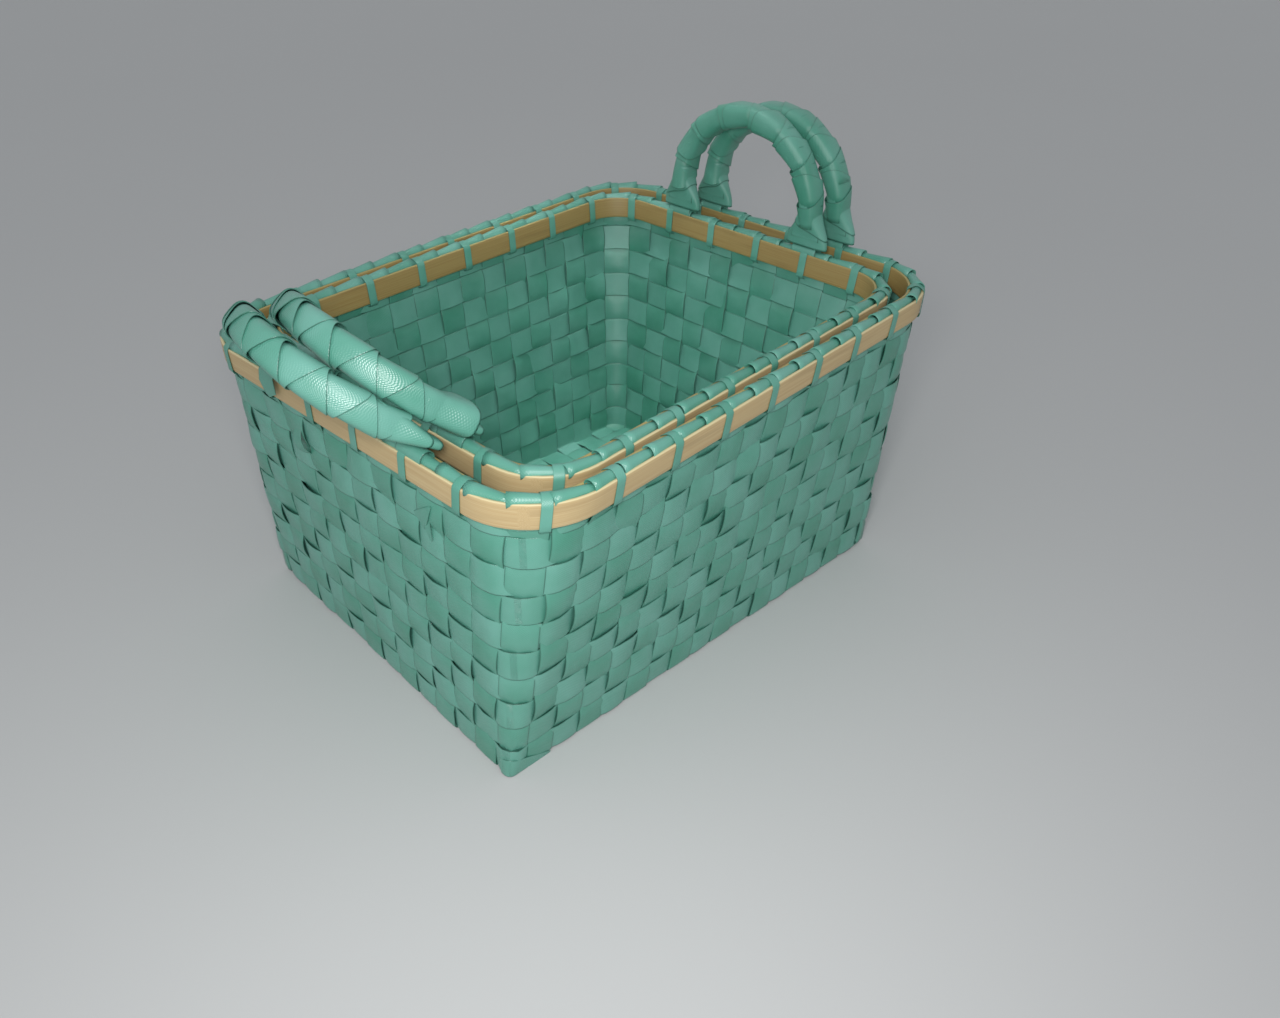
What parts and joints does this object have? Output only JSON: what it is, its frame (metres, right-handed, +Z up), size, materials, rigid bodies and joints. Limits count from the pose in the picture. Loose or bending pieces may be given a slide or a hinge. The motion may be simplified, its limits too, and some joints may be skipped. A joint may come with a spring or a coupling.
{
  "type": "nested plaited storage basket pair",
  "caption": "Rectangular storage baskets plaited from flat plastic strip, one nested in the other, with lashed bamboo rims and wrapped arch handles that fold at the short sides.",
  "frame": {"origin": "centre of the large basket's underside, on the surface it stands on", "axes": "+X along the long side towards the upright handles, +Y along the short side, +Z up"},
  "size_m": [0.3696, 0.2606, 0.2385],
  "materials": {
    "strip": "satin, finely embossed polypropylene strip",
    "bamboo": "bare split bamboo",
    "handle_core": "rolled strip"
  },
  "bodies": {
    "large_basket": {"large_lengthwise_strips": "strip", "large_crosswise_strips": "strip", "large_front_left_corner_stake": "strip", "large_front_right_corner_stake": "strip", "large_back_right_corner_stake": "strip", "large_back_left_corner_stake": "strip", "large_weaver_1": "strip", "large_weaver_2": "strip", "large_weaver_3": "strip", "large_weaver_4": "strip", "large_weaver_5": "strip", "large_weaver_6": "strip", "large_weaver_7": "strip", "large_weaver_8": "strip", "large_weaver_9": "strip", "large_weaver_10": "strip", "large_outer_hoop": "bamboo", "large_inner_hoop": "bamboo", "large_rim_fold": "strip", "large_rim_lashing": "strip", "large_left_handle_front_tie": "strip", "large_left_handle_back_tie": "strip", "large_right_handle_front_tie": "strip", "large_right_handle_back_tie": "strip"},
    "small_basket": {"small_lengthwise_strips": "strip", "small_crosswise_strips": "strip", "small_front_left_corner_stake": "strip", "small_front_right_corner_stake": "strip", "small_back_right_corner_stake": "strip", "small_back_left_corner_stake": "strip", "small_weaver_1": "strip", "small_weaver_2": "strip", "small_weaver_3": "strip", "small_weaver_4": "strip", "small_weaver_5": "strip", "small_weaver_6": "strip", "small_weaver_7": "strip", "small_weaver_8": "strip", "small_weaver_9": "strip", "small_weaver_10": "strip", "small_outer_hoop": "bamboo", "small_inner_hoop": "bamboo", "small_rim_fold": "strip", "small_rim_lashing": "strip", "small_left_handle_front_tie": "strip", "small_left_handle_back_tie": "strip", "small_right_handle_front_tie": "strip", "small_right_handle_back_tie": "strip"},
    "large_left_handle": {"large_left_handle_core": "handle_core", "large_left_handle_wrap": "strip"},
    "large_right_handle": {"large_right_handle_core": "handle_core", "large_right_handle_wrap": "strip"},
    "small_left_handle": {"small_left_handle_core": "handle_core", "small_left_handle_wrap": "strip"},
    "small_right_handle": {"small_right_handle_core": "handle_core", "small_right_handle_wrap": "strip"}
  },
  "joints": [
    {"name": "lift_out", "type": "slide", "parent": "large_basket", "child": "small_basket", "axis": [0, 0, 1], "range_m": [0, 0.2]},
    {"name": "large_left_handle_fold", "type": "hinge", "parent": "large_basket", "child": "large_left_handle", "pos_m": [-0.1394, -0.004, 0.1701], "axis": [0, -1, 0], "range_deg": [0, 45]},
    {"name": "large_right_handle_fold", "type": "hinge", "parent": "large_basket", "child": "large_right_handle", "pos_m": [0.1774, 0.006, 0.1701], "axis": [0, 1, 0], "range_deg": [0, 84]},
    {"name": "small_left_handle_fold", "type": "hinge", "parent": "small_basket", "child": "small_left_handle", "pos_m": [-0.1194, -0.004, 0.1701], "axis": [0, 1, 0], "range_deg": [0, 105]},
    {"name": "small_right_handle_fold", "type": "hinge", "parent": "small_basket", "child": "small_right_handle", "pos_m": [0.1574, 0.006, 0.1701], "axis": [0, -1, 0], "range_deg": [0, 84]}
  ]
}
